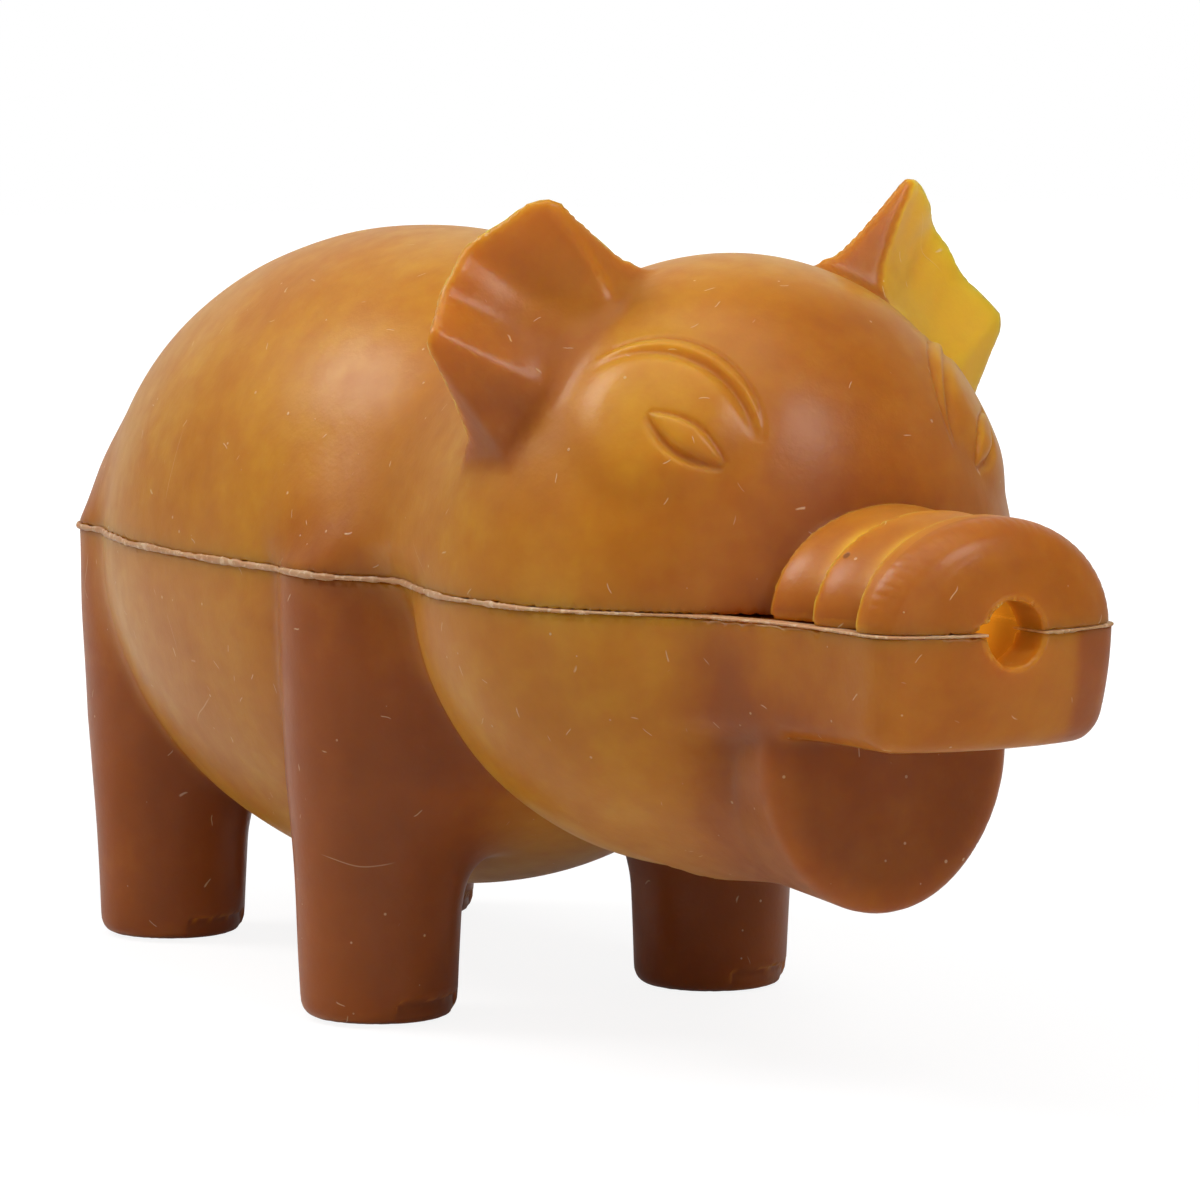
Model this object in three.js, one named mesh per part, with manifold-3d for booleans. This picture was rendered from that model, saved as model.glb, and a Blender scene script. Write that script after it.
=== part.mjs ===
// Hollow rubber pig, a chew toy for dogs. It is moulded as an upper and a lower half that are
// bonded along a level parting line, and the squeezed-out bond stands proud as a thin flash.
// Millimetres. The snout points to +X, the pig's left is +Y, up is +Z, the soles stand on z = 0.
import * as THREE from 'three';
import { mergeVertices, toCreasedNormals } from 'three/addons/utils/BufferGeometryUtils.js';
import Module from 'manifold-3d';

// Halves, wall and bond line
const partingHeight = 45.5;
const wall = 3.2;
const flashThickness = 0.8;
const flashStand = 0.7;

// Body and head, two egg shapes on the lengthwise plane y = 0. The head is widest at the parting
// line, reaches a different way above and below it, and its upper half leans forward.
const body = { x: -28.1, z: 44.4, halfLength: 54.6, halfWidth: 29.9, above: 34.8, below: 34.8, lean: 0 };
const head = {
  x: 28.7, z: partingHeight, halfLength: 30.9, halfWidth: 28.4, above: 32.4, below: 27.5, lean: 0.12,
};
const neckBlendAbove = 14;
const neckBlendBelow = 4;
const bodyStations = 20;
const neckStations = 5;
const headStations = 17;
const neckStart = -2;
const neckEnd = 20;
const outlinePoints = 52;
const hollowDetail = 0.6;
const headFront = head.x + head.halfLength;
const crown = head.z + head.above;

// Legs: solid tapered columns, each with a rounded shoulder just above the parting line
const soleRadius = 7.9;
const hipRadius = 10;
const frontLegAhead = 24.3;
const frontLegInset = 0.3;
const rearLegBehind = 35.1;
const rearLegInset = 5.4;
const frontLeg = { x: body.x + frontLegAhead, y: body.halfWidth - hipRadius - frontLegInset };
const rearLeg = { x: body.x - rearLegBehind, y: body.halfWidth - hipRadius - rearLegInset };
const soleRounding = 1;
const shoulderHeight = 8.2;
const flareStart = 10;
const flareEnd = 24;
const flareReach = 3.2;
const legPoints = 24;

// Shallow step in the front of every sole
const notchHeight = 2.4;
const notchDepth = 0.45;
const notchFrom = -0.25;
const notchTo = 1.1;

// Snout: an upper half of three rolls on a deeper lower block, both with a domed front
const snoutLength = 23.5;
const snoutFront = headFront + snoutLength;
const domeRadius = 22.5;
const snoutHalfWidth = 12.3;
const rollHeight = 10.1;
const creaseHeight = 8.7;
const rollPitch = 7.5;
const rollCount = 3;
const rimRounding = 2.4;
const blockDepth = 10.8;
const blockDraft = 0.6;
const blockCorner = 2.8;
const blockEdge = 1.2;
const blockRootDepth = 15.6;
const blockRoot = headFront - blockRootDepth;
const blockFlareLength = 30;
const blockFlareEnd = blockRoot + blockFlareLength;
const blockFlare = 9;
const holeRadius = 3.45;
const noseWall = 5;
const channelHalfWidth = 7;
const channelHalfHeight = 6;

// Jaw flap under the snout
const jawReach = 2;
const jawFront = headFront + jawReach;
const jawLength = 24.6;
const jawRoot = jawFront - jawLength;
const jawHalfWidth = 13.4;
const jawTop = 33;
const jawBottom = 17.2;
const jawEdge = 1.4;
const jawRootInset = 1.8;

// Ears: places on the pig's left ear, ahead of the middle of the head, out from the side of the
// head and up from the crown; the right ear is its mirror image
const earEdge = [[4.7, -7.5, 6.3], [1.7, -4.3, 3.6], [-1, -1, 0.2], [-0.1, 1.4, -3.5], [2.5, 3.9, -6.8]];
const earRootMedial = [6.3, -14.4, -3.9];
const earRootFold = [7.2, -6.1, -12.8];
const earRootLow = [4.8, -2.9, -18.4];
const earSink = 5;
const earBackMedial = [-3, -3.7, 2.7];
const earBackLow = [-6.5, 0, -1];
const earTipShare = 0.22;
const earCornerRounding = 0.12;
const earLowDrop = 1.5;
const earCup = 1.2;
const earFlutes = 3;
const earFluteDepth = 0.45;
const earFold = 0.75;
const earRows = 6;
const earColumns = 20;
const leftEarRise = 1.6;

// Eye mound, brow and closed eye, laid out on the skin of the head around the middle of the eye
const eyeAhead = 22.2;
const eyeInset = 12.3;
const eyeSpot = { x: head.x + eyeAhead, y: head.halfWidth - eyeInset };
const eyeAxis = [0.734, -0.469, -0.491];
const mound = { along: -4.5, across: 0.6, radius: 9.2, height: 0.45 };
const leaf = { halfLength: 5.2, halfHeight: 1.6, height: 0.5 };
const brow = { along: -3, across: -4, radius: 11.8, from: 0.8, to: 2.7, halfWidth: 1.2, height: 0.6 };
const leftEyeShift = { along: 0.8, across: -0.9 };
const reliefRoot = 1.2;
const reliefEdge = 0.25;

// Curled tail in relief on the rump
const tailHeight = 55;
const tailRadius = 1.4;
const tailTurns = 1.35;
const tailSpread = 4.2;
const tailCurlIn = 0.72;

// Cutters reach past what they cut
const cutterReach = 5;
const cutterSize = 300;

const wasm = await Module();
wasm.setup();

// Turns a closed geometry into a solid that can be joined and cut.
function toSolid(geometry) {
  const bare = geometry.clone();
  bare.deleteAttribute('normal');
  bare.deleteAttribute('uv');
  const welded = mergeVertices(bare, 1e-4);
  const position = welded.getAttribute('position');
  const index = welded.index.array;
  const corners = [];
  for (let i = 0; i < index.length; i += 3) {
    const [a, b, c] = [index[i], index[i + 1], index[i + 2]];
    if (a !== b && b !== c && c !== a) corners.push(a, b, c);
  }
  if (enclosedVolume(position, corners) < 0) corners.reverse();
  return new wasm.Manifold(new wasm.Mesh({
    numProp: 3,
    vertProperties: new Float32Array(position.array),
    triVerts: new Uint32Array(corners),
  }));
}

function enclosedVolume(position, corners) {
  const [a, b, c] = [new THREE.Vector3(), new THREE.Vector3(), new THREE.Vector3()];
  let total = 0;
  for (let i = 0; i < corners.length; i += 3) {
    a.fromBufferAttribute(position, corners[i]);
    b.fromBufferAttribute(position, corners[i + 1]);
    c.fromBufferAttribute(position, corners[i + 2]);
    total += a.dot(b.cross(c));
  }
  return total;
}

function join(solids) {
  return solids.reduce((whole, solid) => whole.add(solid));
}

function toMesh(solid, name, color) {
  const mesh = solid.getMesh();
  const geometry = new THREE.BufferGeometry();
  geometry.setAttribute('position', new THREE.BufferAttribute(new Float32Array(mesh.vertProperties), 3));
  geometry.setIndex(new THREE.BufferAttribute(new Uint32Array(mesh.triVerts), 1));
  const material = new THREE.MeshStandardMaterial({ color, roughness: 0.55, metalness: 0 });
  const result = new THREE.Mesh(toCreasedNormals(geometry, 0.5), material);
  result.name = name;
  return result;
}

function mirrored(geometry) {
  return geometry.clone().scale(1, -1, 1);
}

function surface(points, corners) {
  const geometry = new THREE.BufferGeometry();
  const values = points.flatMap((point) => point.toArray());
  geometry.setAttribute('position', new THREE.Float32BufferAttribute(values, 3));
  geometry.setIndex(corners);
  return geometry;
}

// Joins a row of closed rings into one solid, with a fan over each end.
function loft(rings) {
  const count = rings[0].length;
  const points = rings.flat();
  const corners = [];
  for (let row = 0; row < rings.length - 1; row += 1) {
    for (let column = 0; column < count; column += 1) {
      const next = (column + 1) % count;
      const low = row * count;
      const high = low + count;
      corners.push(low + column, low + next, high + next, low + column, high + next, high + column);
    }
  }
  for (const [start, order] of [[0, -1], [(rings.length - 1) * count, 1]]) {
    const middle = new THREE.Vector3();
    for (let column = 0; column < count; column += 1) middle.add(points[start + column]);
    points.push(middle.divideScalar(count));
    const hub = points.length - 1;
    for (let column = 0; column < count; column += 1) {
      const next = (column + 1) % count;
      if (order > 0) corners.push(hub, start + column, start + next);
      else corners.push(hub, start + next, start + column);
    }
  }
  return surface(points, corners);
}

// Closes two equal grids of points, a front and a back, into one solid slab.
function slab(front, back) {
  const rows = front.length;
  const columns = front[0].length;
  const points = [...front.flat(), ...back.flat()];
  const offset = rows * columns;
  const corners = [];
  const quad = (a, b, c, d) => corners.push(a, b, c, a, c, d);
  for (let r = 0; r < rows - 1; r += 1) {
    for (let c = 0; c < columns - 1; c += 1) {
      const a = r * columns + c;
      const b = a + columns;
      quad(a, b, b + 1, a + 1);
      quad(a + offset, a + 1 + offset, b + 1 + offset, b + offset);
    }
  }
  for (let c = 0; c < columns - 1; c += 1) {
    const last = (rows - 1) * columns + c;
    quad(c, c + 1, c + 1 + offset, c + offset);
    quad(last, last + offset, last + 1 + offset, last + 1);
  }
  for (let r = 0; r < rows - 1; r += 1) {
    const a = r * columns;
    const b = a + columns;
    quad(a, a + offset, b + offset, b);
    quad(a + columns - 1, b + columns - 1, b + columns - 1 + offset, a + columns - 1 + offset);
  }
  return surface(points, corners);
}

// Distance from the lengthwise axis at the parting height to an egg shape, looking along an angle.
function eggReach(egg, x, angle, grow) {
  const rise = Math.sin(angle);
  const length = egg.halfLength + grow;
  const width = egg.halfWidth + grow;
  const height = (rise > 0 ? egg.above : egg.below) + grow;
  const drop = partingHeight - egg.z;
  const lean = egg.lean * Math.max(rise, 0);
  const a = (Math.cos(angle) / width) ** 2 + (rise / height) ** 2 + (lean / length) ** 2;
  const b = 2 * rise * drop / height ** 2 - 2 * (x - egg.x) * lean / length ** 2;
  const c = ((x - egg.x) / length) ** 2 + (drop / height) ** 2 - 1;
  const inside = b * b - 4 * a * c;
  return inside > 0 ? (Math.sqrt(inside) - b) / (2 * a) : 0;
}

function skinReach(x, angle, grow) {
  const rear = eggReach(body, x, angle, grow);
  const front = eggReach(head, x, angle, grow);
  const rise = 0.5 + 0.5 * Math.sin(angle);
  const blend = neckBlendBelow + (neckBlendAbove - neckBlendBelow) * rise;
  const overlap = Math.max(blend - Math.abs(rear - front), 0);
  const reach = Math.max(rear, front) + (rear > 0 && front > 0 ? overlap ** 2 / (4 * blend) : 0);
  if (grow < 0 || front === 0) return reach;
  const spot = new THREE.Vector3(x, reach * Math.cos(angle), partingHeight + reach * Math.sin(angle));
  return reach + moundRise(spot);
}

// Body and head as one skin; a negative growth gives the hollow inside it.
function skin(grow, detail) {
  const stations = [];
  const sweep = (egg, from, to, fullCount) => {
    const count = Math.round(fullCount * detail);
    const length = egg.halfLength + grow;
    const start = Math.acos(THREE.MathUtils.clamp((egg.x - from) / length, -1, 1));
    const end = Math.acos(THREE.MathUtils.clamp((egg.x - to) / length, -1, 1));
    for (let i = 0; i < count; i += 1) {
      stations.push(egg.x - length * Math.cos(THREE.MathUtils.lerp(start, end, (i + 0.5) / count)));
    }
  };
  sweep(body, -Infinity, neckStart, bodyStations);
  const neckCount = Math.round(neckStations * detail);
  for (let i = 0; i < neckCount; i += 1) {
    stations.push(THREE.MathUtils.lerp(neckStart, neckEnd, (i + 0.5) / neckCount));
  }
  sweep(head, neckEnd, Infinity, headStations);
  return loft(stations.map((x) => {
    const ring = [];
    const count = 2 * Math.round(outlinePoints * detail / 2);
    for (let i = 0; i < count; i += 1) {
      const angle = (i / count) * 2 * Math.PI;
      const reach = skinReach(x, angle, grow);
      ring.push(new THREE.Vector3(x, reach * Math.cos(angle), partingHeight + reach * Math.sin(angle)));
    }
    return ring;
  }));
}

// Half circle of a crest or a rounding: 0 at both ends of the span, 1 in the middle.
function crest(t, lean) {
  const s = Math.pow(t, lean);
  return Math.sqrt(Math.max(1 - (2 * s - 1) ** 2, 0));
}

function leg(place, side, grow) {
  const levels = [];
  for (const t of [0, 0.4, 1]) {
    const height = soleRounding * t;
    levels.push([height, -soleRounding * (1 - Math.sqrt(1 - (1 - t) ** 2)), 0]);
  }
  for (let i = 0; i <= 4; i += 1) {
    const t = i / 4;
    levels.push([THREE.MathUtils.lerp(flareStart, flareEnd, t), 0, flareReach * t * t]);
  }
  levels.push([(flareEnd + partingHeight) / 2, 0, flareReach], [partingHeight, 0, 0]);
  const rings = levels.map(([height, inset, flare]) => {
    const taper = THREE.MathUtils.lerp(soleRadius, hipRadius, height / partingHeight);
    return { height, radius: taper + inset + flare + grow, shift: flare };
  });
  for (const t of [0.35, 0.65, 0.87, 0.98]) {
    const radius = (hipRadius + grow) * Math.sqrt(1 - t * t);
    rings.push({ height: partingHeight + shoulderHeight * t, radius, shift: 0 });
  }
  return loft(rings.map(({ height, radius, shift }) => {
    const ring = [];
    for (let i = 0; i < legPoints; i += 1) {
      const angle = (i / legPoints) * 2 * Math.PI;
      const y = side * (place.y - shift) + radius * Math.sin(angle);
      ring.push(new THREE.Vector3(place.x + radius * Math.cos(angle), y, height));
    }
    return ring;
  }));
}

// Curved bar that is cut away from the front of a sole.
function notchCutter(place, side) {
  const shape = new THREE.Shape();
  shape.absarc(0, 0, soleRadius + cutterReach, notchFrom, notchTo, false);
  shape.absarc(0, 0, soleRadius - notchDepth, notchTo, notchFrom, true);
  const depth = notchHeight + cutterReach;
  const bar = new THREE.ExtrudeGeometry(shape, { depth, bevelEnabled: false, curveSegments: 10 });
  return bar.translate(place.x, side * place.y, -cutterReach);
}

// Front face of the snout, a shallow dome: its lengthwise position beside and above the middle.
function domeAt(y, z, grow) {
  const radius = domeRadius + grow;
  const drop = radius ** 2 - y ** 2 - (z - partingHeight) ** 2;
  return snoutFront - domeRadius + Math.sqrt(Math.max(drop, 0));
}

function snoutRolls() {
  const profile = [new THREE.Vector2(0, blockRoot), new THREE.Vector2(creaseHeight, blockRoot)];
  const widen = snoutHalfWidth / rollHeight;
  const rimStart = domeAt(snoutHalfWidth, partingHeight, 0) - rimRounding;
  for (let roll = 0; roll < rollCount; roll += 1) {
    const start = headFront + roll * rollPitch;
    const isFront = roll === rollCount - 1;
    const span = isFront ? 2 * (rimStart - start) : rollPitch;
    const steps = isFront ? 3 : 6;
    for (let i = 0; i < steps; i += 1) {
      const t = i / 6;
      const radius = creaseHeight + (rollHeight - creaseHeight) * crest(t, isFront ? 1 : 1.3);
      profile.push(new THREE.Vector2(radius, start + span * t));
    }
  }
  for (let i = 0; i <= 4; i += 1) {
    const angle = (i / 4) * 0.4 * Math.PI;
    const radius = rollHeight - rimRounding * (1 - Math.cos(angle));
    profile.push(new THREE.Vector2(radius, rimStart + rimRounding * Math.sin(angle)));
  }
  const rimEnd = profile[profile.length - 1].x;
  for (let i = 3; i > 0; i -= 1) {
    const radius = (rimEnd * i) / 4;
    profile.push(new THREE.Vector2(radius, domeAt(radius * widen, partingHeight, 0)));
  }
  profile.push(new THREE.Vector2(0, snoutFront));
  const rolls = alongX(new THREE.LatheGeometry(profile, 36));
  return rolls.scale(1, widen, 1).translate(0, 0, partingHeight);
}

// Lays a shape that was turned about Y down along the lengthwise axis.
function alongX(geometry) {
  return geometry.rotateZ(-Math.PI / 2);
}

function snoutBlock(grow) {
  const sections = [];
  for (let i = 0; i <= 6; i += 1) {
    sections.push({ x: THREE.MathUtils.lerp(blockRoot, blockFlareEnd, i / 6), inset: 0, back: 0 });
  }
  for (let i = 0; i <= 3; i += 1) {
    const angle = (i / 3) * Math.PI / 2;
    sections.push({ inset: blockEdge * (1 - Math.cos(angle)), back: blockEdge * (1 - Math.sin(angle)) });
  }
  for (const share of [0.35, 0.7]) sections.push({ inset: snoutHalfWidth * share, back: 0 });
  return loft(sections.map(({ x, inset, back }) => {
    const away = x ? (blockFlareEnd - x) / (blockFlareEnd - blockRoot) : 0;
    const side = snoutHalfWidth + blockFlare * away ** 2 + grow;
    const depth = blockDepth + grow;
    const outline = [[side, blockCorner], [side, 0], [side - blockDraft / 2, (blockCorner - depth) / 2]];
    for (let i = 0; i <= 4; i += 1) {
      const angle = (i / 4) * Math.PI / 2;
      const reach = side - blockDraft - blockCorner * (1 - Math.cos(angle));
      outline.push([reach, blockCorner * (1 - Math.sin(angle)) - depth]);
    }
    const flat = side - blockDraft - blockCorner;
    for (const share of [0.75, 0.5, 0.2]) outline.push([flat * share, -depth]);
    const shrink = 1 - inset / side;
    const half = outline.map(([across, above]) => {
      const y = across * shrink;
      const z = partingHeight + above * shrink;
      return new THREE.Vector3(x ?? domeAt(y, z, grow) - back, y, z);
    });
    return [...half, ...half.map((p) => new THREE.Vector3(p.x, -p.y, p.z)).reverse()];
  }));
}

function jawFlap() {
  const sections = [[jawRoot, jawRootInset], [jawFront - jawEdge, 0]];
  for (let i = 1; i <= 4; i += 1) {
    const angle = (i / 4) * Math.PI / 2;
    sections.push([jawFront - jawEdge * (1 - Math.sin(angle)), jawEdge * (1 - Math.cos(angle))]);
  }
  const lid = partingHeight - blockDepth + blockCorner;
  return loft(sections.map(([x, inset]) => {
    const ring = [];
    const half = jawHalfWidth - inset;
    const drop = jawTop - jawBottom - inset;
    for (let i = 0; i <= 24; i += 1) {
      const angle = -(i / 24) * Math.PI;
      ring.push(new THREE.Vector3(x, half * Math.cos(angle), jawTop + drop * Math.sin(angle)));
    }
    ring.push(new THREE.Vector3(x, -half, lid), new THREE.Vector3(x, half, lid));
    return ring;
  }));
}

function ear(rise) {
  const seat = new THREE.Vector3(head.x, head.halfWidth, crown);
  const rim = new THREE.CatmullRomCurve3(earEdge.map((place) => new THREE.Vector3(...place).add(seat)));
  const [rootMedial, rootFold, rootLow] = [earRootMedial, earRootFold, earRootLow]
    .map((place) => new THREE.Vector3(...place).add(seat));
  const backMedial = new THREE.Vector3(...earBackMedial);
  const backLow = new THREE.Vector3(...earBackLow);
  const front = [];
  const back = [];
  for (let row = -1; row <= earRows; row += 1) {
    const u = row / earRows;
    const frontRow = [];
    const backRow = [];
    for (let column = 0; column <= earColumns; column += 1) {
      const v = column / earColumns;
      const isFolded = v > earFold;
      const across = isFolded ? (v - earFold) / (1 - earFold) : v / earFold;
      const root = (isFolded ? rootFold : rootMedial).clone().lerp(isFolded ? rootLow : rootFold, across);
      const tip = rim.getPoint(isFolded ? 1 : across);
      if (isFolded) tip.z -= earLowDrop * across;
      const fromCorner = Math.min(v, 1 - v) / earCornerRounding;
      tip.lerp(root, earCornerRounding * Math.max(1 - fromCorner, 0) ** 2);
      const inward = root.clone().sub(tip).normalize().multiplyScalar(earSink);
      const point = row < 0 ? root.clone().add(inward) : root.clone().lerp(tip, u);
      const outward = Math.max(u, 0);
      point.z += rise * outward * (1 - v);
      const hollow = isFolded ? 0 : Math.sin(Math.PI * across);
      const flute = isFolded ? 0 : Math.sin(earFlutes * 2 * Math.PI * across) * hollow;
      point.x -= earCup * hollow * Math.sin(Math.PI * outward) + earFluteDepth * flute * outward;
      const depth = THREE.MathUtils.lerp(1, earTipShare, Math.sqrt(outward));
      frontRow.push(point);
      backRow.push(point.clone().addScaledVector(backMedial.clone().lerp(backLow, v), depth));
    }
    front.push(frontRow);
    back.push(backRow);
  }
  return slab(front, back);
}

const headMiddle = new THREE.Vector3(head.x, 0, head.z);
const headRadii = new THREE.Vector3(head.halfLength, head.halfWidth, head.above);

// Shears a place relative to the middle of the head so that the lean is gone.
function upright(offset) {
  return new THREE.Vector3(offset.x - head.lean * offset.z, offset.y, offset.z);
}

// Outward direction of the upper head at a place relative to its middle.
function headNormal(offset) {
  const slope = upright(offset).divide(headRadii).divide(headRadii);
  return new THREE.Vector3(slope.x, slope.y, slope.z - head.lean * slope.x).normalize();
}

// Slides a place relative to the middle of the head along a direction, onto the head's surface.
function ontoHead(offset, direction) {
  const from = upright(offset).divide(headRadii);
  const step = upright(direction).divide(headRadii);
  const a = step.lengthSq();
  const b = from.dot(step);
  const reach = (Math.sqrt(b * b - a * (from.lengthSq() - 1)) - b) / a;
  return offset.clone().addScaledVector(direction, reach);
}

const eyeOffset = ontoHead(new THREE.Vector3(eyeSpot.x - head.x, eyeSpot.y, 0), new THREE.Vector3(0, 0, 1));
const eyeMiddle = eyeOffset.clone().add(headMiddle);
const eyeNormal = headNormal(eyeOffset);
const eyeRight = new THREE.Vector3(...eyeAxis);
eyeRight.addScaledVector(eyeNormal, -eyeRight.dot(eyeNormal)).normalize();
const eyeUp = eyeRight.clone().cross(eyeNormal).normalize();

function moundHeight(along, across) {
  const away = Math.hypot(along - mound.along, across - mound.across) / mound.radius;
  return mound.height * Math.max(1 - away ** 2, 0) ** 0.85;
}

// How far the mound of either eye lifts the skin at a point.
function moundRise(point) {
  const offset = new THREE.Vector3(point.x, Math.abs(point.y), point.z).sub(eyeMiddle);
  if (offset.length() > 2 * mound.radius) return 0;
  const shift = point.y > 0 ? leftEyeShift : { along: 0, across: 0 };
  return moundHeight(offset.dot(eyeRight) - shift.along, offset.dot(eyeUp) - shift.across);
}

// Point on the skin of the head beside the eye, lifted off it by a height.
function facePoint(along, across, shift, height) {
  const flat = eyeOffset.clone();
  flat.addScaledVector(eyeRight, along + shift.along).addScaledVector(eyeUp, across + shift.across);
  const foot = ontoHead(flat, eyeNormal);
  const lift = height + moundHeight(along, across);
  return headNormal(foot).multiplyScalar(lift).add(foot).add(headMiddle);
}

// Raised ridge on the face: a strip with a middle line, a half width and a rounded height.
function faceRidge(middleAt, halfWidthAt, height, shift, rows, columns) {
  const front = [];
  const back = [];
  for (let row = 0; row <= rows; row += 1) {
    const t = (row + 0.15) / (rows + 0.3);
    const { along, across, turn } = middleAt(t);
    const half = halfWidthAt(t);
    const frontRow = [];
    const backRow = [];
    for (let column = 0; column <= columns; column += 1) {
      const s = (2 * column) / columns - 1;
      const [u, w] = [along + half * s * Math.cos(turn), across + half * s * Math.sin(turn)];
      const swell = Math.sqrt(Math.max(1 - s * s, 0)) * Math.sin(Math.PI * t) ** 0.5;
      frontRow.push(facePoint(u, w, shift, height * swell - reliefEdge * (1 - swell)));
      backRow.push(facePoint(u, w, shift, -reliefRoot));
    }
    front.push(frontRow);
    back.push(backRow);
  }
  return slab(front, back);
}

function closedEye(shift) {
  const middleAt = (t) => ({ along: (2 * t - 1) * leaf.halfLength, across: 0, turn: Math.PI / 2 });
  const halfHeightAt = (t) => leaf.halfHeight * Math.sin(Math.PI * t);
  return faceRidge(middleAt, halfHeightAt, leaf.height, shift, 9, 6);
}

function browRidge(shift) {
  const middleAt = (t) => {
    const angle = THREE.MathUtils.lerp(brow.from, brow.to, t);
    const [along, across] = [brow.radius * Math.cos(angle), brow.radius * Math.sin(angle)];
    return { along: brow.along + along, across: brow.across + across, turn: angle };
  };
  const halfWidthAt = (t) => brow.halfWidth * Math.sqrt(Math.sin(Math.PI * t));
  return faceRidge(middleAt, halfWidthAt, brow.height, shift, 16, 4);
}

class TailCurve extends THREE.Curve {
  getPoint(t) {
    const angle = t * tailTurns * 2 * Math.PI;
    const reach = tailSpread * (1 - tailCurlIn * t);
    const y = reach * Math.sin(angle);
    const z = tailHeight + reach * Math.cos(angle);
    const off = (y / body.halfWidth) ** 2 + ((z - body.z) / body.above) ** 2;
    return new THREE.Vector3(body.x - body.halfLength * Math.sqrt(1 - off), y, z);
  }
}

function tail() {
  const section = new THREE.Shape().absarc(0, 0, tailRadius, 0, 2 * Math.PI, false);
  return new THREE.ExtrudeGeometry(section, { steps: 22, curveSegments: 5, extrudePath: new TailCurve() });
}

function cylinderAlongX(radius, halfHeight, from, to) {
  const cylinder = alongX(new THREE.CylinderGeometry(radius, radius, to - from, 32));
  return cylinder.scale(1, 1, halfHeight / radius).translate((from + to) / 2, 0, partingHeight);
}

// Everything between two heights.
function slice(from, to) {
  return toSolid(new THREE.BoxGeometry(cutterSize, cutterSize, to - from).translate(0, 0, (from + to) / 2));
}

const hollow = join([
  toSolid(skin(-wall, hollowDetail)),
  toSolid(cylinderAlongX(channelHalfWidth, channelHalfHeight, head.x, snoutFront - noseWall)),
  toSolid(cylinderAlongX(holeRadius, holeRadius, head.x, snoutFront + cutterReach)),
]);
const legPlaces = [[frontLeg, 1], [frontLeg, -1], [rearLeg, 1], [rearLeg, -1]];
const legs = legPlaces.map(([place, side]) => toSolid(leg(place, side, 0)));
const notches = legPlaces.map(([place, side]) => toSolid(notchCutter(place, side)));
const bareSkin = toSolid(skin(0, 1));
const top = partingHeight + flashThickness / 2;
const bottom = partingHeight - flashThickness / 2;

const noShift = { along: 0, across: 0 };
const leftRelief = [ear(leftEarRise), closedEye(leftEyeShift), browRidge(leftEyeShift)];
const rightRelief = [ear(0), closedEye(noShift), browRidge(noShift)].map(mirrored);
const upper = join([
  bareSkin, ...legs, toSolid(snoutRolls()), toSolid(tail()),
  ...leftRelief.map(toSolid), ...rightRelief.map(toSolid),
]).intersect(slice(top, cutterSize)).subtract(hollow);

const lower = join([bareSkin, ...legs, toSolid(snoutBlock(0)), toSolid(jawFlap())])
  .intersect(slice(-cutterReach, bottom)).subtract(hollow).subtract(join(notches));

const flash = join([
  toSolid(skin(flashStand, 1)), toSolid(snoutBlock(flashStand)),
  ...legPlaces.map(([place, side]) => toSolid(leg(place, side, flashStand))),
]).intersect(slice(bottom, top)).subtract(hollow);

const pig = new THREE.Group();
pig.name = 'rubber_pig_dog_toy';
pig.add(toMesh(upper, 'upper_half', '#b8742a'));
pig.add(toMesh(flash, 'bond_line_flash', '#d8a06a'));
pig.add(toMesh(lower, 'lower_half', '#a5641f'));
export default pig;
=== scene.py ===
import math

import bmesh
import bpy
import numpy as np
from mathutils import Matrix, Vector
from mathutils.bvhtree import BVHTree


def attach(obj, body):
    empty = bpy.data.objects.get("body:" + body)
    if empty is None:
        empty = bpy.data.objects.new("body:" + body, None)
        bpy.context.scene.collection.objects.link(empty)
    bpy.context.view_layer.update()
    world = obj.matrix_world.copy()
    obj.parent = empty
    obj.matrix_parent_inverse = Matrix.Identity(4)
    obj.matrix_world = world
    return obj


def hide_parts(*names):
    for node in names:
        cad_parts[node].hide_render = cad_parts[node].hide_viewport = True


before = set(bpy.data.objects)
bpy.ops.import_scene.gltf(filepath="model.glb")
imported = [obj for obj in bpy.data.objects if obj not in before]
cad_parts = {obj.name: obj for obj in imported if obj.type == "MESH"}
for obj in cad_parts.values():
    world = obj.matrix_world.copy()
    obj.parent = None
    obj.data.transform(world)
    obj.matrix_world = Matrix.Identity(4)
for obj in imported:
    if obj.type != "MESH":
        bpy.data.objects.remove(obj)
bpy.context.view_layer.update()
mm = 0.001  # the shapes below are worked out in millimetres and built in metres

# Sizes that several pieces share. The head is widest at the parting line, reaches a different
# way above and below it, and its upper half leans forward.
body = {"x": -28.1, "z": 44.4, "halfLength": 54.6, "halfWidth": 29.9,
        "above": 34.8, "below": 34.8, "lean": 0.0}
head = {"x": 28.7, "z": 45.5, "halfLength": 30.9, "halfWidth": 28.4,
        "above": 32.4, "below": 27.5, "lean": 0.12}
neck = {"above": 14.0, "below": 2.2, "change": 9.0}
parting = {"height": 45.5, "gap": 0.16}
wall = 3.2
uneven = {"length": 14, "height": 0.05}  # faint waviness of the moulded skin
headFront = head["x"] + head["halfLength"]
crown = head["z"] + head["above"]
meshStep = 0.64


# A field gives, for an array of points, about how far each is outside a shape (negative inside).
def join(a, b, fillet):
    overlap = np.clip(fillet - np.abs(a - b), 0, None)
    return np.minimum(a, b) - overlap ** 2 / (4 * fillet)


def cut(a, b, fillet):
    return -join(-a, b, fillet)


def common(a, b, fillet):
    return -join(-a, -b, fillet)


def ease(a, b, t):
    t = np.clip(t, 0, 1)
    return a + (b - a) * t * t * (3 - 2 * t)


def rise(x, start, over):
    # 0 up to start and 1 from start + over on
    return ease(0, 1, (x - start) / over)


def bell(x, width):
    return np.exp(-(x / width) ** 2)


def overLine(p):
    return p[:, 2] - parting["height"]


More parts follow.
